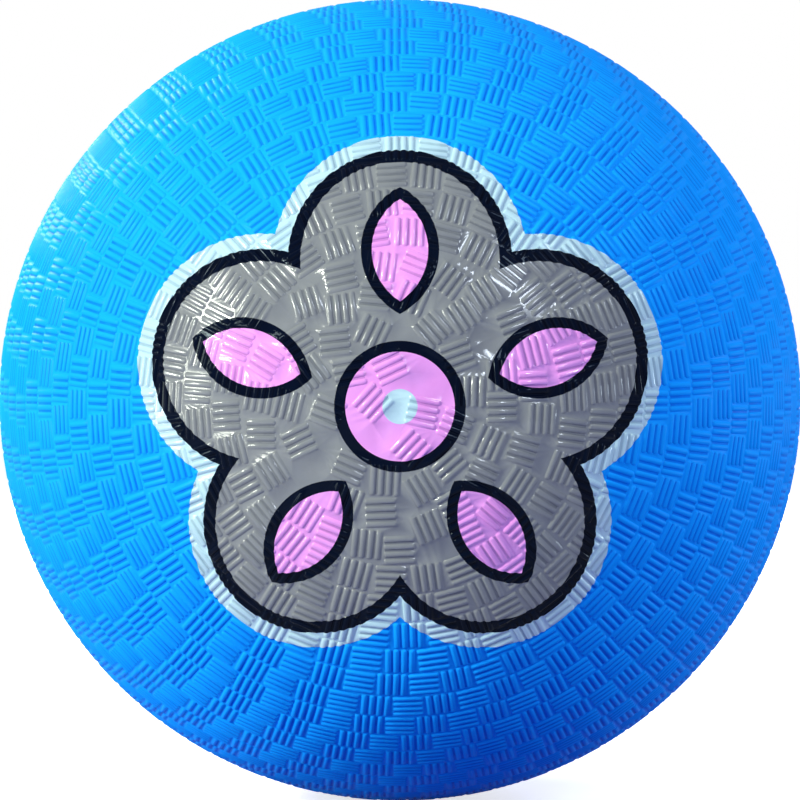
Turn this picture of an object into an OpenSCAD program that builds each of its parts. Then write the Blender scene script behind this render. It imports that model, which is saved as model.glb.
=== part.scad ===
// Rubber dodgeball: two cover halves over a cord-wound bladder, a self-sealing needle valve at the
// back pole and a printed flower on the front pole.
// The origin is the centre of the ball. The valve looks along +Y, the print along -Y, and +Z is up.

/* [Ball] */
// Diameter of the ball over the ribs of its grip
ball_d = 215.9; // [160:0.1:300]
// Thickness of the rubber cover, up to the tops of the ribs
cover_t = 1.3; // [1:0.05:2.5]
// Height of the ribs of the grip
rib_h = 0.4; // [0.2:0.05:0.6]
// Thickness of the wound cord layer under the cover
cord_t = 0.3; // [0.2:0.05:0.8]
// Wall of the bladder
bladder_t = 0.6; // [0.4:0.05:1.2]
// Room that the bond takes between two layers
bond_gap = 0.03; // [0.01:0.01:0.1]

/* [Parting line] */
// Width of the plain band that the two halves of the mould leave round the ball
band_w = 2.4; // [1.6:0.1:4]
// Width of the flash bead in the middle of that band
flash_w = 0.6; // [0.4:0.1:1]
// Height of the flash bead over the band
flash_h = 0.2; // [0.1:0.05:0.3]
// Width of the plain land between that bead and the lap of the two halves
lap_land = 0.1; // [0.05:0.05:0.3]
// Run of the bevel where one half of the cover laps the other
lap_w = 1.6; // [0.8:0.1:3]

/* [Valve seat] */
// Diameter of the plain round seat that the grip leaves free round the valve
seat_d = 24; // [20:0.5:34]
// Outer diameter of the raised ring round the valve's mouth
ring_d = 14; // [12.5:0.5:17]
// Width of that ring
ring_w = 1.2; // [0.8:0.1:1.8]
// Diameter of the reinforcing washer that fills the winding's opening
patch_d = 34; // [24:0.5:48]

/* [Valve] */
// Diameter of the neck that passes through the wall
neck_d = 8; // [7.5:0.1:9]
// Diameter of the flange bonded inside the bladder
flange_d = 30; // [20:0.5:44]
// Thickness of the flange at the neck
flange_t = 1.6; // [1.2:0.1:2.5]
// Thickness of the flange at its thin rim
flange_rim_t = 0.4; // [0.3:0.1:0.8]
// Diameter of the barrel at the flange
barrel_d = 11; // [10:0.1:14]
// Diameter of the barrel at its inner end
barrel_end_d = 9.4; // [9.2:0.1:9.9]
// Depth of the barrel below the mouth
barrel_l = 15; // [14.5:0.1:20]
// Diameter of the core's stem
core_d = 5; // [4.6:0.1:5.4]
// Length of the core
core_l = 11; // [10:0.1:12]
// Diameter of the bead that locks the core in the barrel
lock_d = 6.6; // [6.2:0.1:7]
// Depth of the middle of the lock bead below the mouth
lock_depth = 7; // [6:0.1:8]
// Length of the lock bead between its tapers
lock_w = 1; // [0.6:0.1:1.6]
// Diameter of the needle's channel
needle_d = 2.2; // [1.8:0.1:2.6]
// Diameter of the countersink at the mouth of the channel
mouth_d = 3.6; // [3:0.1:4.2]
// Clearance round the neck and round the core
valve_gap = 0.05; // [0.02:0.01:0.1]

/* [Print] */
// Thickness of one film of ink
ink_t = 0.08; // [0.05:0.01:0.15]
// Number of petals
petals = 5; // [4:1:7]
// Distance from the middle of the flower to the middle of a round petal
petal_at = 34; // [31:0.5:37]
// Radius of a round petal
petal_r = 23; // [21:0.5:25]
// Radius of the round heart that joins the petals
heart_r = 22; // [18:0.5:26]
// Width of the black outline of the flower
outline_w = 2.9; // [2:0.1:4]
// Width of the white edge outside that outline
halo_w = 3.6; // [2:0.1:5]
// Distance from the middle of the flower to the middle of a leaf
leaf_at = 36; // [35:0.5:38]
// Length of a leaf, from point to point
leaf_l = 24; // [18:0.5:25]
// Width of a leaf
leaf_w = 13; // [8:0.5:14]
// Diameter of the disc in the middle of the flower
hub_d = 25; // [20:0.5:28]
// Width of the black line round the leaves and the disc
line_w = 2.5; // [1.5:0.1:3]
// Diameter of the white dot in the middle of the disc
dot_d = 8; // [4:0.5:14]

/* [Hidden] */
$fn = 96;
// Facets of the large circle that the small flange seats on
seat_fn = 8 * $fn;
// Overrun of a cut past the face that it goes through
over = 1;
// Half an opening angle of the core's lock bead, between its taper and the axis
lock_slope = 45;
// Half an opening angle of the countersink
mouth_slope = 45;

// Radii of the layers, from the outside in
ball_r = ball_d / 2;
base_r = ball_r - rib_h;
cover_in_r = ball_r - cover_t;
root_r = (base_r + cover_in_r) / 2;
cord_out_r = cover_in_r - bond_gap;
cord_in_r = cord_out_r - cord_t;
bladder_out_r = cord_in_r - bond_gap;
bladder_in_r = bladder_out_r - bladder_t;
flange_out_r = bladder_in_r - bond_gap;

// Heights along the valve's axis, from the centre of the ball
mouth_z = sqrt(base_r ^ 2 - (neck_d / 2) ^ 2);
barrel_end_z = mouth_z - barrel_l;
core_end_z = mouth_z - core_l;
lock_z = mouth_z - lock_depth;
lock_rise = (lock_d - core_d) / 2 / tan(lock_slope);
mouth_sink = (mouth_d - needle_d) / 2 / tan(mouth_slope);
flange_in_z = flange_out_r - flange_t;
flange_rim_z = sqrt(flange_out_r ^ 2 - (flange_d / 2) ^ 2);
neck_hole_d = neck_d + 2 * valve_gap;
petal_step = 360 / petals;

// Turns the axis of what is drawn from +Z to the valve's direction, +Y
module to_valve() {
    rotate([-90, 0, 0]) children();
}

// Spherical layer between two radii
module layer(outer_r, inner_r) {
    difference() {
        sphere(r = outer_r);
        sphere(r = inner_r);
    }
}

// Straight hole from the inside of the wall out past the cover
module wall_hole(d) {
    translate([0, 0, bladder_in_r - flange_t - over])
        cylinder(d = d, h = ball_r - bladder_in_r + flange_t + 2 * over);
}

// Everything on the print's side of the bevelled lap, which takes in the whole flash bead
module front_side() {
    lap_from = flash_w / 2 + lap_land;
    lap_deep = cover_t + over;
    lap_to = lap_from + lap_deep * lap_w / cover_t;
    rotate_extrude()
        polygon([
            [0, -ball_r - over],
            [ball_r + over, -ball_r - over],
            [ball_r + over, lap_from],
            [ball_r, lap_from],
            [ball_r - lap_deep, lap_to],
            [0, lap_to]
        ]);
}

// Ring of the given width and outer radius on the ball's equator
module equator_ring(outer_r, inner_r, w) {
    translate([0, 0, -w / 2])
        difference() {
            cylinder(r = outer_r, h = w);
            translate([0, 0, -over]) cylinder(r = inner_r, h = w + 2 * over);
        }
}

// Both halves of the cover, with the parting band, its flash and the valve's seat
module whole_cover() {
    flash_r = base_r + flash_h;
    difference() {
        layer(ball_r, cover_in_r);
        equator_ring(ball_r + over, base_r, band_w);
        valve_seat_cut();
        wall_hole(neck_hole_d);
    }
    equator_ring(flash_r, root_r, flash_w);
    valve_ring();
}

// Space over the plain seat, down to the floor between the ribs
module valve_seat_cut() {
    difference() {
        translate([0, 0, cover_in_r]) cylinder(d = seat_d, h = cover_t + over);
        sphere(r = base_r);
    }
}

// Raised ring round the mouth, as high as the ribs and rooted in the rubber like the flash bead
module valve_ring() {
    intersection() {
        layer(ball_r, root_r);
        translate([0, 0, cover_in_r])
            difference() {
                cylinder(d = ring_d, h = cover_t + over);
                translate([0, 0, -over]) cylinder(d = ring_d - 2 * ring_w, h = cover_t + 3 * over);
            }
    }
}

module cover_front() {
    color([0.02, 0.5, 0.9])
        to_valve()
            intersection() {
                whole_cover();
                front_side();
            }
}

module cover_back() {
    color([0.02, 0.45, 0.85])
        to_valve()
            difference() {
                whole_cover();
                front_side();
            }
}

// Latex-bound cord, wound all round the bladder but for the opening round the valve
module cord_winding() {
    color([0.87, 0.84, 0.76])
        to_valve()
            difference() {
                layer(cord_out_r, cord_in_r);
                wall_hole(patch_d);
            }
}

module bladder() {
    color([0.14, 0.14, 0.15])
        to_valve()
            difference() {
                layer(bladder_out_r, bladder_in_r);
                wall_hole(neck_hole_d);
            }
}

// Reinforcing washer in the winding's opening
module valve_patch() {
    color([0.3, 0.3, 0.32])
        to_valve()
            intersection() {
                layer(cord_out_r, cord_in_r);
                difference() {
                    wall_hole(patch_d - 2 * valve_gap);
                    wall_hole(neck_hole_d);
                }
            }
}

// Half outline of the core, grown outwards and inwards along the axis by the given gap
module core_outline(gap) {
    stem_r = core_d / 2 + gap;
    bead_r = lock_d / 2 + gap;
    bead_half = lock_w / 2 + gap;
    polygon([
        [0, core_end_z - gap],
        [stem_r, core_end_z - gap],
        [stem_r, lock_z - bead_half - lock_rise],
        [bead_r, lock_z - bead_half],
        [bead_r, lock_z + bead_half],
        [stem_r, lock_z + bead_half + lock_rise],
        [stem_r, mouth_z + gap],
        [0, mouth_z + gap]
    ]);
}

// Half outline of the flange, neck and closed barrel
module body_outline() {
    intersection() {
        circle(r = flange_out_r, $fn = seat_fn);
        polygon([
            [0, flange_in_z],
            [barrel_d / 2, flange_in_z],
            [flange_d / 2, flange_rim_z - flange_rim_t],
            [flange_d / 2, flange_out_r],
            [0, flange_out_r]
        ]);
    }
    polygon([
        [0, barrel_end_z],
        [barrel_end_d / 2, barrel_end_z],
        [barrel_d / 2, flange_in_z],
        [neck_d / 2, flange_in_z],
        [neck_d / 2, mouth_z],
        [0, mouth_z]
    ]);
}

// Flange, neck and barrel in one moulding, hollow for the core and closed below it
module valve_body() {
    color([0.22, 0.22, 0.24])
        to_valve()
            rotate_extrude()
                difference() {
                    body_outline();
                    core_outline(valve_gap);
                }
}

// Self-sealing plug with the needle's channel through it
module valve_core() {
    color([0.75, 0.75, 0.72])
        to_valve()
            difference() {
                rotate_extrude() core_outline(0);
                translate([0, 0, core_end_z - over]) cylinder(d = needle_d, h = core_l + 2 * over);
                translate([0, 0, mouth_z - mouth_sink])
                    cylinder(d1 = needle_d, d2 = mouth_d, h = mouth_sink);
            }
}

// Pointed leaf with its middle on the Y axis, between two arcs grown outwards by the given width
module leaf(grow) {
    bulge = leaf_w / 2;
    arc_r = (leaf_l ^ 2 / 4 + bulge ^ 2) / (2 * bulge);
    translate([0, leaf_at])
        intersection() {
            translate([arc_r - bulge, 0]) circle(r = arc_r + grow);
            translate([bulge - arc_r, 0]) circle(r = arc_r + grow);
        }
}

// The whole flower, grown outwards by the given width
module flower(grow) {
    circle(r = heart_r + grow);
    for (i = [0 : petals - 1])
        rotate(i * petal_step) translate([0, petal_at]) circle(r = petal_r + grow);
}

// The disc in the middle and one leaf in each petal, grown outwards by the given width
module leaves_and_hub(grow) {
    circle(r = hub_d / 2 + grow);
    for (i = [0 : petals - 1])
        rotate(i * petal_step) leaf(grow);
}

// A film of ink on the front of the ball, in the shape of its children seen along the ball's axis.
// Film 0 lies on the cover, film 1 on top of it.
module ink(film) {
    inner_r = ball_r + bond_gap + film * (ink_t + bond_gap);
    intersection() {
        layer(inner_r + ink_t, inner_r);
        rotate([90, 0, 0]) linear_extrude(height = ball_r + over) children();
    }
}

// White ink under the whole flower, which shows as its edge, and the dot over it
module print_white() {
    color([0.86, 0.95, 0.97]) {
        ink(0) flower(outline_w + halo_w);
        ink(1) circle(d = dot_d);
    }
}

module print_black() {
    color([0.02, 0.02, 0.03])
        ink(1) {
            difference() {
                flower(outline_w);
                flower(0);
            }
            difference() {
                leaves_and_hub(line_w);
                leaves_and_hub(0);
            }
        }
}

module print_taupe() {
    color([0.55, 0.5, 0.47])
        ink(1)
            difference() {
                flower(0);
                leaves_and_hub(line_w);
            }
}

module print_pink() {
    color([0.92, 0.5, 0.86])
        ink(1)
            difference() {
                leaves_and_hub(0);
                circle(d = dot_d);
            }
}

cover_front();
cover_back();
cord_winding();
bladder();
valve_patch();
valve_body();
valve_core();
print_white();
print_black();
print_taupe();
print_pink();
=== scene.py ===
"""Looks of the rubber dodgeball: the ribbed cover, the printed flower, the valve and the studio.

Everything is in metres in the part's own frame: the centre of the ball is the origin, the valve looks
along +Y, the print along -Y, and +Z is up. Each half of the cover is made with its pole on +Z and then
turned to its side.
"""
import math
import random

import bpy
import numpy as np
from mathutils import Matrix, Vector
from mathutils.geometry import delaunay_2d_cdt


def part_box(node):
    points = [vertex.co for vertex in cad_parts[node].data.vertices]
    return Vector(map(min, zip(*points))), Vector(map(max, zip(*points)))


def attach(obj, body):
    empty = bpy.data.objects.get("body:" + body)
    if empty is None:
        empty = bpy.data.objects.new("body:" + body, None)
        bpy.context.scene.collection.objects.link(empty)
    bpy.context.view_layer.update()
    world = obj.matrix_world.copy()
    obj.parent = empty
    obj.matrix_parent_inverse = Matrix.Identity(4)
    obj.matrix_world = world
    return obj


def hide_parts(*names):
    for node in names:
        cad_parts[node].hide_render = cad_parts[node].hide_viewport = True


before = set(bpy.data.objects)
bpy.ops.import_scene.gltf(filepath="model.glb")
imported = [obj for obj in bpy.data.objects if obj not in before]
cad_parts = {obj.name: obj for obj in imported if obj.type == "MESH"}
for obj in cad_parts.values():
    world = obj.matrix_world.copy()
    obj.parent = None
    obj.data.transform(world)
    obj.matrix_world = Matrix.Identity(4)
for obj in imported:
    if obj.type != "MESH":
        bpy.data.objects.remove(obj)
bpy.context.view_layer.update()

MM = 0.001
TO_FRONT = Matrix.Rotation(math.radians(90), 4, "X")
TO_BACK = Matrix.Rotation(math.radians(-90), 4, "X")

# Ball and wall
BALL_R = -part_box("cover_front")[0].y
COVER_T = 1.3 * MM
COVER_IN_R = BALL_R - COVER_T

# Depth of the grip, which falls to that of the rim between two angles from the pole
RIB_H = 0.4 * MM
RIM_RIB_H = 0.22 * MM
LOW_FROM, LOW_TO = math.radians(50), math.radians(78)
BASE_R = BALL_R - RIB_H
EDGE_R = BALL_R - RIM_RIB_H

# Parting line: a plain band with the flash bead in its middle and the lap of the halves under it
BAND_W = 2.4 * MM
FLASH_W = 0.6 * MM
FLASH_H = 0.2 * MM
LAP_LAND = 0.1 * MM
LAP_W = 1.6 * MM
EDGE_ANGLE = math.acos(BAND_W / 2 / EDGE_R)

# Valve seat: plain, with a raised ring round the hole for the valve's neck
SEAT_R = 12 * MM
RING_R = 7 * MM
RING_W = 1.2 * MM
NECK_HOLE_R = 4.05 * MM
SEAT_ANGLE = math.asin(SEAT_R / BASE_R)

# Grip: rings of square patches round each pole, each of four straight ribs
FRONT_RINGS = 17
FRONT_START = 37.4 * MM
BACK_RINGS = 20
RIBS = 4
RIB_PITCH = 1.85 * MM
RIB_L = 7.4 * MM
RIB_W = 1.45 * MM
RIB_CORNER = 0.35 * MM
SHOULDER_IN = 0.22 * MM
SHOULDER_SHARE = 0.62
PATCH_W = (RIBS - 1) * RIB_PITCH + RIB_W
PATCH_PITCH = 7.65 * MM
PATCH_ROOM = 7.28 * MM
PATCH_TURN = math.radians(0.8)
FIRST_PHI = math.radians(-45)

# Grip at the front pole, where the patches lie every way: across and up in mm from the pole, and the slope
# of the ribs in degrees
POLE_PATCHES = [
    (4.9, 0.8, 168), (-3.3, 5.8, 25), (1.4, -7.6, 47), (-9.4, -0.2, 47), (2.4, 10.2, 117),
    (12.1, -5.9, 157), (-12.3, -7.4, 158), (-12.1, 7.5, 11), (13.9, 2.1, 88), (10.9, 10.1, 20),
    (-4.9, 14.5, 65), (-6.8, -13.8, 87), (8.6, -13.5, 41), (-17.6, 0.9, 158), (1.4, -17.3, 121),
    (-13.4, 14.6, 6), (-15.3, -14.0, 156), (7.3, 18.3, 131), (21.5, -0.4, 1), (20.1, -8.9, 66),
    (-1.0, 22.4, 67), (-5.8, -21.9, 2), (21.5, 7.3, 94), (-20.8, 10.0, 128), (-22.1, -6.6, 25),
    (16.4, -16.3, 153), (18.8, 15.0, 20), (-24.7, 2.4, 75), (-8.9, 23.7, 174), (-14.3, -21.8, 69),
    (11.0, -23.5, 30), (15.3, 22.6, 124), (-16.8, 22.3, 98), (3.7, -27.3, 112), (8.4, 27.4, 54),
    (-22.3, -19.1, 142), (-4.2, -29.7, 2), (-24.1, 18.5, 30), (28.5, -10.3, 162), (29.8, 5.6, 2),
    (-29.5, 11.6, 149), (31.4, -2.5, 87), (25.6, -18.1, 58), (-29.3, -12.8, 122), (-12.3, -29.8, 84),
    (29.0, 13.8, 104), (-8.1, 31.7, 83), (-32.4, 4.0, 79), (24.8, 21.6, 22), (-32.4, -4.3, 1),
    (21.8, -25.5, 138), (15.4, -30.1, 27), (-20.2, -28.9, 158), (18.3, 29.2, 122), (0.8, 30.6, 157),
    (-28.0, -23.0, 57), (-23.4, 26.6, 109), (-16.0, 30.0, 12),
]
PATCH_GAP = 0.22 * MM
LEAST_GAP = 0.12 * MM
PUSH_STEPS = 700
SETTLED = 0.01 * MM
SEED = 7

# Segments of round forms
ROUND = 192
ROUND_PHI = np.arange(ROUND) * math.tau / ROUND
INNER_ROWS = 18
INNER_TOP = math.radians(88)
BEAD_STEPS = 6

# Meshes: the angle from which an edge stays sharp, and how the floor between the ribs is cut in triangles
SHARP_ANGLE = math.radians(48)
WHOLE_HULL = 0
SAME_POINT_MM = 1e-5

# Flat map: the radii of the disc for what faces out and of the one for what faces in, and the angle from
# the pole at their edges
OUT_DISC, IN_DISC = 0.49, 0.09
DISC_ANGLE = math.radians(93)

# Print: a five-petal flower in four inks
INK_LIFT = 0.05 * MM
INK_SINK = 0.05 * MM
INK_REACH = 68 * MM
PETALS = 5
PETAL_AT = 34 * MM
PETAL_R = 23 * MM
OUTLINE_W = 2.9 * MM
HALO_W = 3.6 * MM
LEAF_AT = 36 * MM
LEAF_L = 24 * MM
LEAF_W = 13 * MM
HUB_R = 12.5 * MM
LINE_W = 2.5 * MM
DOT_R = 4 * MM
FLOWER_STEPS = 60
ARC_STEPS = 32
CIRCLE_STEPS = 4 * ARC_STEPS
CUTTER_FROM, CUTTER_TO = BALL_R / 2, 1.1 * BALL_R

# Colours, each as a darker and a paler shade
BLUE_RUBBER = (0.0055, 0.36, 0.95), (0.008, 0.4, 0.98)
CORD = (0.62, 0.56, 0.42), (0.74, 0.68, 0.54)
BUTYL_RUBBER = (0.012, 0.012, 0.014), (0.02, 0.02, 0.022)
WASHER_RUBBER = (0.06, 0.06, 0.065), (0.08, 0.08, 0.085)
VALVE_RUBBER = (0.03, 0.03, 0.033), (0.045, 0.045, 0.05)
CORE_RUBBER = (0.5, 0.49, 0.45), (0.58, 0.57, 0.52)
WHITE_INK = (0.46, 0.67, 0.68), (0.5, 0.71, 0.72)
BLACK_INK = (0.0003, 0.0022, 0.01), (0.0006, 0.0032, 0.013)
TAUPE_INK = (0.198, 0.207, 0.2), (0.222, 0.232, 0.222)
PINK_INK = (0.83, 0.3, 0.7), (0.87, 0.335, 0.75)

# Surfaces: the share of the colour left where shade is painted into the grooves, the noises as (scale,
# detail), how far the roughness strays from its middle both ways, and the strength of the grain
RUBBER_SURFACE = {
    "painted_groove_shade": (0.5, 0.52, 0.75), "clouds": (28, 4), "sheen": (90, 3), "grain": (1600, 2),
    "stray": (-0.06, 0.06), "strength": 0.5,
}
INK_SURFACE = {
    "painted_groove_shade": (0.62, 0.64, 0.7), "clouds": (220, 3), "sheen": (400, 2), "grain": (2000, 2),
    "stray": (-0.04, 0.06), "strength": 0.6,
}
# Painted shade in the grooves: its patchy noise as (scale, detail), and the least share of its full depth
PAINTED_SHADE_NOISE = (260, 2)
PAINTED_SHADE_LEAST = 0.55
GRAIN_DEPTH = 0.02 * MM
NOISE_FROM, NOISE_TO = 0.3, 0.7

# Places of the colour sockets on the mix node
MIX_A, MIX_B, MIX_RESULT = 6, 7, 2

# Studio: the sky and the floor light the ball in blue, and look white where the background is seen
SKY, SKY_STRENGTH = (0.5, 0.6, 1.0), 0.5
FLOOR_HALF = 4.0
FLOOR_BLUE = (0.08, 0.1, 0.38)
FLOOR_PALE = (0.8, 0.8, 0.8)
FLOOR_ROUGH = 0.9
FLOOR_GLOW = 0.7

# Lamps, each with its place, size, power and colour
LAMPS = {
    "window": ((-1.2, -0.82, 0.4), (0.16, 0.8), 14.5, (0.95, 1.0, 0.85)),
    "key": ((-1.12, -0.92, 0.6), (0.14, 0.14), 10, (0.95, 1.0, 0.85)),
    "side": ((0.78, -1.12, 0.85), (0.2, 0.45), 9.6, (0.78, 0.88, 1.0)),
    "low left": ((-1.0, -0.5, 0.0), (0.15, 0.15), 1.6, (0.95, 1.0, 0.85)),
    "right rim": ((0.82, 0.15, 0.0), (0.15, 0.15), 1.4, (0.7, 0.85, 0.95)),
    "left rim": ((-0.84, 1.08, 0.58), (0.4, 0.4), 20, (1.0, 1.0, 1.0)),
    "back": ((0, 1.5, 0.3), (0.5, 0.5), 7, (0.9, 0.95, 1.0)),
}

# Camera
LENS_MM = 106.7
CAMERA_DISTANCE = 6.0 * BALL_R
CAMERA_RISE = math.radians(0.8)
CLIP_START = 0.01


def point(theta, phi, radius):
    """Points at the angle theta from the pole and phi round it, as rows."""
    theta, phi = np.broadcast_arrays(theta, phi)
    rows = [np.sin(theta) * np.cos(phi), np.sin(theta) * np.sin(phi), np.cos(theta)]
    return np.stack(rows, axis=-1) * radius


def polar(points):
    """Flat map of points on the half: the angle from the pole is the distance from the middle."""
    x, y, z = points[..., 0], points[..., 1], points[..., 2]
    theta = np.arctan2(np.hypot(x, y), z)
    phi = np.arctan2(y, x)
    return np.stack([theta * np.cos(phi), theta * np.sin(phi)], axis=-1) * BASE_R


# Places of the patches

def ring_patches(rings, start, end, rng):
    """Regular patches on rings from start to end, each as (theta, phi, turn)."""
    pitch = (end - start) / rings
    found = []
    for ring in range(rings):
        inner = start + ring * pitch
        middle = inner + pitch / 2
        room = min(math.sin(inner) / PATCH_ROOM, math.sin(middle) / PATCH_PITCH)
        count = 2 * int(math.pi * BASE_R * room)
        for j in range(count):
            turn = math.pi / 2 * ((ring + j) % 2) + rng.uniform(-PATCH_TURN, PATCH_TURN)
            found.append((middle, FIRST_PHI + math.tau * j / count, turn))
    return found


def to_flat(theta, phi, turn):
    """Place of a patch on the flat map, and the slope of its ribs there."""
    return theta * BASE_R * math.cos(phi), theta * BASE_R * math.sin(phi), phi + math.pi / 2 - turn


def from_flat(x, y, slope):
    """The patch at a place on the flat map, as (theta, phi, turn)."""
    phi = math.atan2(y, x)
    return math.hypot(x, y) / BASE_R, phi, phi + math.pi / 2 - slope


def reach(slope, way, gap):
    """Half the size of a patch with this slope, seen along a way, with half the gap round it."""
    return ((RIB_L + gap) * np.abs(np.cos(way - slope)) + (PATCH_W + gap) * np.abs(np.sin(way - slope))) / 2


def pushes(some, others, gap):
    """Shortest shift that takes each patch off each of the others, zero where they are apart."""
    one, other = some[:, None, None, :], others[None, :, None, :]
    quarter = np.array([0, math.pi / 2])
    ways = np.concatenate(np.broadcast_arrays(one[..., 2] + quarter, other[..., 2] + quarter), axis=2)
    along = (one[..., 0] - other[..., 0]) * np.cos(ways) + (one[..., 1] - other[..., 1]) * np.sin(ways)
    deep = reach(one[..., 2], ways, gap) + reach(other[..., 2], ways, gap) - np.abs(along)
    least = deep.argmin(axis=2)[..., None]
    ways, along, deep = (np.take_along_axis(a, least, axis=2)[..., 0] for a in (ways, along, deep))
    size = np.maximum(deep, 0) * np.sign(along)
    return size[..., None] * np.stack([np.cos(ways), np.sin(ways)], axis=-1)


def pole_patches(ring):
    """Patches inside the first regular ring, pushed off each other and off the ring."""
    fixed = np.array([to_flat(*patch) for patch in ring])
    loose = np.array(POLE_PATCHES) * [MM, MM, math.radians(1)]
    for _ in range(PUSH_STEPS):
        shift = pushes(loose, loose, PATCH_GAP).sum(axis=1) / 2 + pushes(loose, fixed, PATCH_GAP).sum(axis=1)
        if np.abs(shift).max() < SETTLED:
            break
        loose[:, :2] += shift
    kept = fixed
    for patch in loose:
        if not pushes(patch[None], kept, LEAST_GAP).any():
            kept = np.concatenate([kept, patch[None]])
    return [from_flat(*patch) for patch in kept[len(fixed):]]


def front_patches():
    regular = ring_patches(FRONT_RINGS, FRONT_START / BASE_R, EDGE_ANGLE, random.Random(SEED))
    first = regular[0][0]
    return regular + pole_patches([patch for patch in regular if patch[0] == first])


def back_patches():
    return ring_patches(BACK_RINGS, SEAT_ANGLE, EDGE_ANGLE, random.Random(SEED))


# Ribs and the floor between them

def octagon(half_l, half_w, corner):
    """Rib outline with its corners cut, anticlockwise from the lower corner of its +u end."""
    return [
        (half_l, corner - half_w), (half_l, half_w - corner),
        (half_l - corner, half_w), (corner - half_l, half_w),
        (-half_l, half_w - corner), (-half_l, corner - half_w),
        (corner - half_l, -half_w), (half_l - corner, -half_w),
    ]


FOOT_OUTLINE = octagon(RIB_L / 2, RIB_W / 2, RIB_CORNER)
SHOULDER_OUTLINE = octagon(RIB_L / 2 - SHOULDER_IN, RIB_W / 2 - SHOULDER_IN, SHOULDER_IN)
CREST_END = RIB_L / 2 - RIB_W / 2
RIB_POINTS = np.array(
    [(u, v, 0.0) for u, v in FOOT_OUTLINE]
    + [(u, v, SHOULDER_SHARE) for u, v in SHOULDER_OUTLINE]
    + [(CREST_END, 0.0, 1.0), (-CREST_END, 0.0, 1.0)]
)
FOOT, PER_RIB = len(FOOT_OUTLINE), len(RIB_POINTS)
RIGHT, LEFT = PER_RIB - 2, PER_RIB - 1
FAR_FOOT, NEAR_FOOT = (2, 3), (6, 7)


def rib_faces():
    """Faces of one rib: its flanks, and its top round the crest line."""
    flanks = [(i, (i + 1) % FOOT, FOOT + (i + 1) % FOOT, FOOT + i) for i in range(FOOT)]
    top = [
        (FOOT + 7, FOOT + 0, RIGHT), (FOOT + 0, FOOT + 1, RIGHT), (FOOT + 1, FOOT + 2, RIGHT),
        (FOOT + 2, FOOT + 3, LEFT, RIGHT), (FOOT + 3, FOOT + 4, LEFT), (FOOT + 4, FOOT + 5, LEFT),
        (FOOT + 5, FOOT + 6, LEFT), (FOOT + 6, FOOT + 7, RIGHT, LEFT),
    ]
    return flanks + top


def grip_depth(theta):
    """Depth of the grip at an angle from the pole: the ribs get lower towards the rim."""
    low = np.clip((theta - LOW_FROM) / (LOW_TO - LOW_FROM), 0, 1)
    return RIB_H + (RIM_RIB_H - RIB_H) * low * low * (3 - 2 * low)


def stamp_ribs(patches):
    """Vertices of every rib, as an array of ribs by points by coordinates."""
    theta, phi, turn = (np.array(column)[:, None] for column in zip(*patches))
    centre = point(theta, phi, 1.0)
    down = point(theta + math.pi / 2, phi, 1.0)
    round_it = point(np.full_like(theta, math.pi / 2), phi + math.pi / 2, 1.0)
    along = np.cos(turn)[..., None] * round_it + np.sin(turn)[..., None] * down
    across = np.sin(turn)[..., None] * round_it - np.cos(turn)[..., None] * down
    shift = (np.arange(RIBS) - (RIBS - 1) / 2) * RIB_PITCH
    u, v, h = RIB_POINTS.T
    flat = (
        BASE_R * centre[:, :, None]
        + u[None, None, :, None] * along[:, :, None]
        + (shift[None, :, None] + v[None, None, :])[..., None] * across[:, :, None]
    )
    rays = flat / np.linalg.norm(flat, axis=-1, keepdims=True)
    depth = grip_depth(np.arccos(rays[..., 2:]))
    return (rays * (BALL_R - depth * (1 - h[None, None, :, None]))).reshape(-1, PER_RIB, 3)


def floor_faces(ribs, circles, circle_start):
    """Triangles of the floor between the ribs, inside the last circle and outside the first of two."""
    count = len(ribs)
    sizes = [FOOT] * count + [ROUND] * len(circles)
    owner = np.repeat(np.arange(len(sizes)), sizes)
    index = np.concatenate([
        (np.arange(count)[:, None] * PER_RIB + np.arange(FOOT)).reshape(-1),
        circle_start + np.arange(len(circles) * ROUND),
    ])
    edges, first = [], 0
    for size in sizes:
        edges += [(first + i, first + (i + 1) % size) for i in range(size)]
        first += size
    flat = np.concatenate([polar(ribs[:, :FOOT].reshape(-1, 3))] + [polar(c) for c in circles]) / MM
    points = [Vector(p) for p in flat.tolist()]
    _, _, faces, origin, _, _ = delaunay_2d_cdt(points, edges, [], WHOLE_HULL, SAME_POINT_MM)
    holes = len(sizes) - 1
    kept = []
    for face in faces:
        corners = [origin[i][0] for i in face]
        owners = {owner[i] for i in corners}
        if len(owners) > 1 or owners.pop() >= holes:
            kept.append(tuple(int(index[i]) for i in corners))
    return kept


def painted_shade_marks(count, rib_side, faces):
    """Painted shade: one for each corner of a face in the grooves of a patch, from the floor up the flanks of
    its ribs.
    """
    low = np.zeros((count // RIBS, RIBS, PER_RIB), dtype=bool)
    low[:, :-1, FAR_FOOT] = True
    low[:, 1:, NEAR_FOOT] = True
    low = low.reshape(-1)
    shade_marks = [tuple(low[i] for i in face) for face in faces[:rib_side]]
    for face in faces[rib_side:]:
        patches = {i // (RIBS * PER_RIB) for i in face}
        inside = len(patches) == 1 and max(face) < len(low) and all(low[i] for i in face)
        shade_marks.append((inside,) * len(face))
    return shade_marks


# Edges and inside of the cover

def revolve(profile):
    """Rings of vertices for a profile of (radius, height) pairs."""
    across, up = np.cos(ROUND_PHI), np.sin(ROUND_PHI)
    return [np.stack([r * across, r * up, np.full(ROUND, z)], axis=-1) for r, z in profile]


def ring_strip(upper, lower):
    """Quads between two rings that start at these vertices."""
    return [
        (upper + j, lower + j, lower + (j + 1) % ROUND, upper + (j + 1) % ROUND)
        for j in range(ROUND)
    ]


def lap_height(radius):
    """Distance of the lap from the middle of the ball at that radius, on the valve's side."""
    return FLASH_W / 2 + LAP_LAND + (BALL_R - radius) * LAP_W / COVER_T


def sphere_height(radius, sphere_r):
    """Height of a sphere at that distance from its axis."""
    return math.sqrt(sphere_r ** 2 - radius ** 2)


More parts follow.
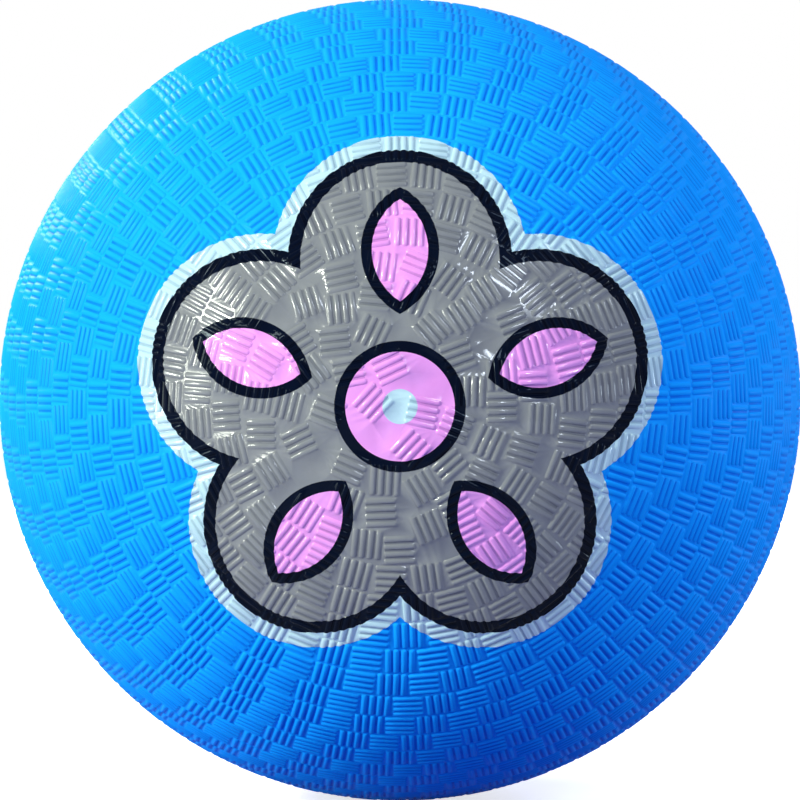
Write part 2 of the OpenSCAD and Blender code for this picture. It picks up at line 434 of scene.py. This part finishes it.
def bead(from_r, to_r, height):
    """Rounded rise and fall between two distances, as (distance, rise) pairs."""
    steps = [math.pi * i / BEAD_STEPS for i in range(BEAD_STEPS + 1)]
    middle, half = (from_r + to_r) / 2, (to_r - from_r) / 2
    return [(middle - half * math.cos(a), height * math.sin(a)) for a in steps]


def inner_rows(low, high):
    """Profile of the inner sphere between two heights."""
    angles = np.linspace(math.asin(low / COVER_IN_R), math.asin(high / COVER_IN_R), INNER_ROWS)
    return [(COVER_IN_R * math.cos(a), COVER_IN_R * math.sin(a)) for a in angles]


def front_profile():
    """From the grip's edge over the flash bead, round the lap and up the inside."""
    flash = [(EDGE_R + rise, -at) for at, rise in bead(-FLASH_W / 2, FLASH_W / 2, FLASH_H)]
    inside = inner_rows(-lap_height(COVER_IN_R), COVER_IN_R * math.sin(INNER_TOP))
    return flash + [(EDGE_R, -lap_height(EDGE_R))] + inside


def back_profile():
    """From the grip's edge round the lap, up the inside, through the neck's hole and over the raised ring."""
    inside = inner_rows(lap_height(COVER_IN_R), sphere_height(NECK_HOLE_R, COVER_IN_R))
    mouth = (NECK_HOLE_R, sphere_height(NECK_HOLE_R, BASE_R))
    ring = [(at, sphere_height(at, BASE_R) + rise) for at, rise in bead(RING_R - RING_W, RING_R, RIB_H)]
    return [(EDGE_R, lap_height(EDGE_R))] + inside + [mouth] + ring


def cover_half(patches, profile, seat_angle=None):
    """Vertices and faces of one half of the cover, with its pole on +Z, and where shade is painted in its
    grooves.
    """
    ribs = stamp_ribs(patches)
    circles = [point(EDGE_ANGLE, ROUND_PHI, EDGE_R)]
    if seat_angle:
        circles.insert(0, point(seat_angle, ROUND_PHI, BASE_R))
    start = len(ribs) * PER_RIB
    rings = revolve(profile)
    vertices = np.concatenate([ribs.reshape(-1, 3)] + circles + rings)
    template = rib_faces()
    faces = [tuple(r * PER_RIB + i for i in face) for r in range(len(ribs)) for face in template]
    rib_side = len(faces)
    faces += floor_faces(ribs, circles, start)
    shade_marks = painted_shade_marks(len(ribs), rib_side, faces)
    first_ring = start + len(circles) * ROUND
    chain = [first_ring - ROUND] + [first_ring + i * ROUND for i in range(len(rings))]
    if seat_angle:
        chain.append(start)
    for upper, lower in zip(chain, chain[1:]):
        faces += ring_strip(upper, lower)
    if not seat_angle:
        vertices = np.concatenate([vertices, [[0.0, 0.0, COVER_IN_R]]])
        faces += [(chain[-1] + j, len(vertices) - 1, chain[-1] + (j + 1) % ROUND) for j in range(ROUND)]
    return vertices, faces, shade_marks


# Meshes and objects

def gather(items, key, shape=(), kind=float):
    """One property of all the items, as an array with that shape for each."""
    values = np.empty(len(items) * math.prod(shape), dtype=kind)
    items.foreach_get(key, values)
    return values.reshape(-1, *shape)


def bake_map(mesh, turn):
    """Gives the mesh its own flat map: a large disc for what faces out, a small one for what faces in."""
    back = np.array(turn.inverted().to_3x3())
    flat = polar(gather(mesh.vertices, "co", (3,)) @ back.T) / BASE_R / DISC_ANGLE
    centres, normals = (gather(mesh.polygons, key, (3,)) for key in ("center", "normal"))
    faces_out = (centres * normals).sum(axis=1) > 0
    out = np.repeat(faces_out, gather(mesh.polygons, "loop_total", kind=np.int32))[:, None]
    flat = flat[gather(mesh.loops, "vertex_index", kind=np.int32)]
    uv = np.where(out, OUT_DISC + OUT_DISC * flat, 1 - IN_DISC + IN_DISC * flat)
    layer = mesh.uv_layers.new(name="OFBake")
    layer.data.foreach_set("uv", uv.astype(np.float32).reshape(-1))


def finish_mesh(mesh, turn):
    """Shades the mesh smooth but for its creases and gives it its map."""
    mesh.validate()
    mesh.polygons.foreach_set("use_smooth", [True] * len(mesh.polygons))
    mesh.set_sharp_from_angle(angle=SHARP_ANGLE)
    bake_map(mesh, turn)


def add_object(name, data):
    piece = bpy.data.objects.new(name, data)
    bpy.context.scene.collection.objects.link(piece)
    return piece


def mesh_object(name, vertices, faces, turn, shade_marks=()):
    """Object of a mesh made with its pole on +Z and turned to its side, with shade painted in the grooves of
    its first faces.
    """
    mesh = bpy.data.meshes.new(name)
    mesh.from_pydata(vertices.tolist(), [], faces)
    mesh.transform(turn)
    corners = np.zeros(len(mesh.loops), dtype=np.float32)
    first = [shade_mark for face in shade_marks for shade_mark in face]
    corners[:len(first)] = first
    # Corner attribute that carries the shade painted into the grooves
    mesh.attributes.new("painted_groove_shade", "FLOAT", "CORNER").data.foreach_set("value", corners)
    return add_object(name, mesh)


# Print

def flower_outline(grow):
    """Outline of the whole flower, grown outwards: the far side of the nearest petal on each ray."""
    r = PETAL_R + grow
    step = math.tau / PETALS
    outline = []
    for i in range(PETALS * FLOWER_STEPS):
        angle = i * step / FLOWER_STEPS
        off = (angle + step / 2) % step - step / 2
        far = PETAL_AT * math.cos(off) + math.sqrt(r ** 2 - (PETAL_AT * math.sin(off)) ** 2)
        outline.append((-far * math.sin(angle), far * math.cos(angle)))
    return outline


def circle_outline(radius):
    angles = [math.tau * i / CIRCLE_STEPS for i in range(CIRCLE_STEPS)]
    return [(radius * math.cos(a), radius * math.sin(a)) for a in angles]


def leaf_outline(grow, angle):
    """Pointed leaf between two arcs, grown outwards, in the petal at that angle."""
    bulge = LEAF_W / 2
    arc_r = (LEAF_L ** 2 / 4 + bulge ** 2) / (2 * bulge)
    half_arc = math.acos((arc_r - bulge) / (arc_r + grow))
    side = [-half_arc + 2 * half_arc * i / ARC_STEPS for i in range(ARC_STEPS)]
    right = [((arc_r + grow) * math.cos(a) - (arc_r - bulge), (arc_r + grow) * math.sin(a)) for a in side]
    both = right + [(-x, -y) for x, y in right]
    c, s = math.cos(angle), math.sin(angle)
    return [(c * x - s * (y + LEAF_AT), s * x + c * (y + LEAF_AT)) for x, y in both]


def leaves_and_hub(grow):
    leaves = [leaf_outline(grow, math.tau * i / PETALS) for i in range(PETALS)]
    return leaves + [circle_outline(HUB_R + grow)]


def fan(outlines):
    """Closed cutters that widen from the ball's centre through outlines that don't touch, past the pole."""
    vertices, faces = [], []
    for outline in outlines:
        n, first = len(outline), len(vertices)
        heights = [sphere_height(math.hypot(x, y), BASE_R) for x, y in outline]
        slopes = [(x / height, y / height) for (x, y), height in zip(outline, heights)]
        vertices += [(x * z, y * z, z) for z in (CUTTER_FROM, CUTTER_TO) for x, y in slopes]
        faces.append([first + i for i in reversed(range(n))])
        faces.append([first + n + i for i in range(n)])
        faces += [[first + i, first + (i + 1) % n, first + n + (i + 1) % n, first + n + i] for i in range(n)]
    return mesh_object("cutter", np.array(vertices), faces, TO_FRONT)


def print_film(vertices, faces, shade_marks):
    """Thin closed film over the grip, near enough to the front pole for the print to be cut from it."""
    near = np.hypot(vertices[:, 0], vertices[:, 1]) < INK_REACH
    near_faces = [i for i in range(len(shade_marks)) if all(near[v] for v in faces[i])]
    kept = [faces[i] for i in near_faces]
    used = sorted({i for face in kept for i in face})
    new = {old: i for i, old in enumerate(used)}
    count = len(used)
    rays = vertices[used] / np.linalg.norm(vertices[used], axis=1)[:, None]
    outer, inner = vertices[used] + rays * INK_LIFT, vertices[used] - rays * INK_SINK
    top = [tuple(new[i] for i in face) for face in kept]
    bottom = [tuple(count + i for i in reversed(face)) for face in top]
    sides = {edge for face in top for edge in zip(face, face[1:] + face[:1])}
    walls = [(b, a, count + a, count + b) for a, b in sides if (b, a) not in sides]
    points = np.concatenate([outer, inner])
    # The film's faces keep where shade is painted in their grooves
    return mesh_object("film", points, top + bottom + walls, TO_FRONT, [shade_marks[i] for i in near_faces])


def cut(film, steps, name):
    """Copy of the film after the given boolean steps, each (operation, outlines)."""
    piece = add_object(name, film.data.copy())
    for operation, outlines in steps:
        cutter = fan(outlines)
        boolean = piece.modifiers.new("cut", "BOOLEAN")
        boolean.operation = operation
        boolean.solver = "MANIFOLD"
        boolean.object = cutter
        graph = bpy.context.evaluated_depsgraph_get()
        mesh = bpy.data.meshes.new_from_object(piece.evaluated_get(graph))
        piece.modifiers.clear()
        piece.data = mesh
        bpy.data.objects.remove(cutter)
    piece.data.name = name
    return piece


# Materials

class Nodes:
    """Short way to build one material's node tree."""

    def __init__(self, name):
        self.material = bpy.data.materials.new(name)
        self.material.use_nodes = True
        self.tree = self.material.node_tree
        self.shader = self.tree.nodes["Principled BSDF"]
        self.place = self.add("ShaderNodeTexCoord").outputs["Object"]

    def add(self, kind, **values):
        """New node, with its properties and the values of its sockets set by name."""
        node = self.tree.nodes.new(kind)
        for key, value in values.items():
            if hasattr(node, key):
                setattr(node, key, value)
            else:
                node.inputs[key.replace("_", " ")].default_value = value
        return node

    def link(self, source, target):
        self.tree.links.new(source, target)

    def noise(self, scale, detail):
        node = self.add("ShaderNodeTexNoise", Scale=scale, Detail=detail)
        self.link(self.place, node.inputs["Vector"])
        return node.outputs["Fac"]

    def spread(self, value, low, high):
        """Maps a noise value to the given range."""
        node = self.add("ShaderNodeMapRange", From_Min=NOISE_FROM, From_Max=NOISE_TO, To_Min=low, To_Max=high)
        self.link(value, node.inputs["Value"])
        return node.outputs["Result"]

    def mix(self, share, colour, blend_type):
        """Mix node that puts the share of this colour on another, which is still to be given."""
        node = self.add("ShaderNodeMix", data_type="RGBA", blend_type=blend_type)
        self.link(share, node.inputs["Factor"])
        node.inputs[MIX_B].default_value = (*colour, 1)
        return node

    def blend(self, value, dark, pale):
        node = self.mix(value, pale, "MIX")
        node.inputs[MIX_A].default_value = (*dark, 1)
        return node.outputs[MIX_RESULT]

    def painted_groove_shade(self, colour, left):
        """Paints shade into the grooves between the ribs of a patch, darkening the colour in uneven patches
        to the part that is left of it.
        """
        shade_mark = self.add("ShaderNodeAttribute", attribute_name="painted_groove_shade")
        uneven = self.add("ShaderNodeMath", operation="MULTIPLY")
        self.link(shade_mark.outputs["Fac"], uneven.inputs[0])
        self.link(self.spread(self.noise(*PAINTED_SHADE_NOISE), PAINTED_SHADE_LEAST, 1), uneven.inputs[1])
        node = self.mix(uneven.outputs[0], left, "MULTIPLY")
        self.link(colour, node.inputs[MIX_A])
        return node.outputs[MIX_RESULT]

    def bump(self, value, strength):
        node = self.add("ShaderNodeBump", Strength=strength, Distance=GRAIN_DEPTH)
        self.link(value, node.inputs["Height"])
        return node.outputs["Normal"]


def surface(name, kind, shades, rough, specular):
    """Nodes of a surface with two close shades in soft clouds, painted shade in its grooves, an uneven sheen
    and a fine grain.
    """
    nodes = Nodes(name)
    less, more = kind["stray"]
    clouds = nodes.spread(nodes.noise(*kind["clouds"]), 0, 1)
    sheen = nodes.spread(nodes.noise(*kind["sheen"]), rough + less, rough + more)
    grain = nodes.bump(nodes.noise(*kind["grain"]), kind["strength"])
    # Shade is painted into the grooves of the clouded colour
    nodes.link(nodes.painted_groove_shade(nodes.blend(clouds, *shades), kind["painted_groove_shade"]), nodes.shader.inputs["Base Color"])
    nodes.link(sheen, nodes.shader.inputs["Roughness"])
    nodes.link(grain, nodes.shader.inputs["Normal"])
    nodes.shader.inputs["Specular IOR Level"].default_value = specular
    return nodes


def rubber(name, shades, rough, specular=0.3, coat=0):
    """Moulded rubber, with any faint coat."""
    nodes = surface(name, RUBBER_SURFACE, shades, rough, specular)
    nodes.shader.inputs["Coat Weight"].default_value = coat
    nodes.shader.inputs["Coat Roughness"].default_value = rough
    return nodes.material


def ink(name, shades, rough=0.12, specular=0.4, tint=(1, 1, 1)):
    """Screen-printed ink: nearly even colour with painted shade in its grooves, a glossier skin than the
    rubber and slight pits.
    """
    nodes = surface(name, INK_SURFACE, shades, rough, specular)
    nodes.shader.inputs["Specular Tint"].default_value = (*tint, 1)
    return nodes.material


def dress(piece, material):
    piece.data.materials.clear()
    piece.data.materials.append(material)


# Pieces

def fit_piece(piece, turn, material, node):
    """Finishes a piece, dresses it and puts it in the place of its node in the frame."""
    finish_mesh(piece.data, turn)
    dress(piece, material)
    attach(piece, "root")
    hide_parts(node)


def make_cover():
    """Both halves of the cover; returns the front one's vertices, faces and where shade is painted in its
    grooves.
    """
    front = cover_half(front_patches(), front_profile())
    back = cover_half(back_patches(), back_profile(), SEAT_ANGLE)
    skin = rubber("blue rubber", BLUE_RUBBER, rough=0.34, specular=0, coat=0.07)
    for name, half, turn in (("cover_front", front, TO_FRONT), ("cover_back", back, TO_BACK)):
        vertices, faces, shade_marks = half
        piece = mesh_object(name + "_grip", vertices, faces, turn, shade_marks)
        fit_piece(piece, turn, skin, name)
    return front


def make_print(front):
    """The inks of the flower, cut from one film over the front half."""
    film = print_film(*front)
    whole, edge, halo = [[flower_outline(grow)] for grow in (0, OUTLINE_W, OUTLINE_W + HALO_W)]
    shapes, lined = leaves_and_hub(0), leaves_and_hub(LINE_W)
    dot = [circle_outline(DOT_R)]
    inks = {
        "white": ink("white ink", WHITE_INK),
        "black": ink("black ink", BLACK_INK, rough=0.06, specular=0.048, tint=(0.7, 0.85, 1.0)),
        "taupe": ink("taupe ink", TAUPE_INK),
        "pink": ink("pink ink", PINK_INK),
    }
    films = [
        ("ink_white", "white", [("INTERSECT", halo), ("DIFFERENCE", edge)]),
        ("ink_dot", "white", [("INTERSECT", dot)]),
        ("ink_black", "black", [("INTERSECT", edge), ("DIFFERENCE", whole)]),
        ("ink_lines", "black", [("INTERSECT", lined), ("DIFFERENCE", shapes)]),
        ("ink_taupe", "taupe", [("INTERSECT", whole), ("DIFFERENCE", lined)]),
        ("ink_pink", "pink", [("INTERSECT", shapes), ("DIFFERENCE", dot)]),
    ]
    for name, colour, steps in films:
        piece = cut(film, steps, name)
        fit_piece(piece, TO_FRONT, inks[colour], "print_" + colour)
    bpy.data.objects.remove(film)


def dress_cad_nodes():
    finishes = {
        "cord_winding": rubber("latex-bound cord", CORD, rough=0.6),
        "bladder": rubber("butyl rubber", BUTYL_RUBBER, rough=0.5),
        "valve_patch": rubber("washer rubber", WASHER_RUBBER, rough=0.55),
        "valve_body": rubber("valve rubber", VALVE_RUBBER, rough=0.5),
        "valve_core": rubber("core rubber", CORE_RUBBER, rough=0.45),
    }
    for node, material in finishes.items():
        dress(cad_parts[node], material)


# Studio

def area_light(name, place, size, power, colour):
    """Rectangular lamp that is aimed at the middle of the ball."""
    lamp = bpy.data.lights.new(name, "AREA")
    lamp.shape = "RECTANGLE"
    lamp.size, lamp.size_y = size
    lamp.energy = power
    lamp.color = colour
    light = add_object(name, lamp)
    light.location = place
    light.rotation_euler = (-Vector(place)).to_track_quat("-Z", "Y").to_euler()


def backdrop_share(tree):
    """One for the rays that see the background, directly or in a gloss or a glass."""
    path = tree.nodes.new("ShaderNodeLightPath")
    total = path.outputs["Is Camera Ray"]
    for name in ("Is Glossy Ray", "Is Transmission Ray"):
        most = tree.nodes.new("ShaderNodeMath")
        most.operation = "MAXIMUM"
        tree.links.new(total, most.inputs[0])
        tree.links.new(path.outputs[name], most.inputs[1])
        total = most.outputs[0]
    return total


def split_by_ray(tree, lit, seen, target):
    """Gives the target one shader where it only lights the ball and another where it is seen."""
    mix = tree.nodes.new("ShaderNodeMixShader")
    tree.links.new(backdrop_share(tree), mix.inputs[0])
    tree.links.new(lit.outputs[0], mix.inputs[1])
    tree.links.new(seen.outputs[0], mix.inputs[2])
    tree.links.new(mix.outputs[0], target)


def make_world():
    world = bpy.data.worlds.new("studio")
    bpy.context.scene.world = world
    world.use_nodes = True
    tree = world.node_tree
    fill = tree.nodes["Background"]
    fill.inputs["Color"].default_value = (*SKY, 1)
    fill.inputs["Strength"].default_value = SKY_STRENGTH
    white = tree.nodes.new("ShaderNodeBackground")
    white.inputs["Color"].default_value = (1, 1, 1, 1)
    split_by_ray(tree, fill, white, tree.nodes["World Output"].inputs["Surface"])


def make_floor():
    """Pale floor that glows enough to melt into the background, but for the ball's shadow."""
    mesh = bpy.data.meshes.new("floor")
    corners = [(-1, -1), (1, -1), (1, 1), (-1, 1)]
    mesh.from_pydata([(x * FLOOR_HALF, y * FLOOR_HALF, -BALL_R) for x, y in corners], [], [(0, 1, 2, 3)])
    floor = add_object("floor", mesh)
    material = bpy.data.materials.new("pale floor")
    material.use_nodes = True
    tree = material.node_tree
    pale = tree.nodes["Principled BSDF"]
    pale.inputs["Roughness"].default_value = FLOOR_ROUGH
    pale.inputs["Base Color"].default_value = (*FLOOR_PALE, 1)
    blue = tree.nodes.new("ShaderNodeBsdfDiffuse")
    blue.inputs["Color"].default_value = (*FLOOR_BLUE, 1)
    glow = tree.nodes.new("ShaderNodeEmission")
    glow.inputs["Strength"].default_value = FLOOR_GLOW
    both = tree.nodes.new("ShaderNodeAddShader")
    tree.links.new(pale.outputs[0], both.inputs[0])
    tree.links.new(glow.outputs[0], both.inputs[1])
    split_by_ray(tree, blue, both, tree.nodes["Material Output"].inputs["Surface"])
    dress(floor, material)


def make_camera():
    camera = add_object("camera", bpy.data.cameras.new("camera"))
    camera.data.lens = LENS_MM
    camera.data.clip_start = CLIP_START
    camera.location = (
        0,
        -CAMERA_DISTANCE * math.cos(CAMERA_RISE),
        CAMERA_DISTANCE * math.sin(CAMERA_RISE),
    )
    camera.rotation_euler = (-camera.location).to_track_quat("-Z", "Y").to_euler()
    bpy.context.scene.camera = camera


def make_studio():
    bpy.context.scene.view_settings.view_transform = "Standard"
    make_world()
    make_floor()
    for name, values in LAMPS.items():
        area_light(name, *values)


make_camera()
make_studio()
make_print(make_cover())
dress_cad_nodes()
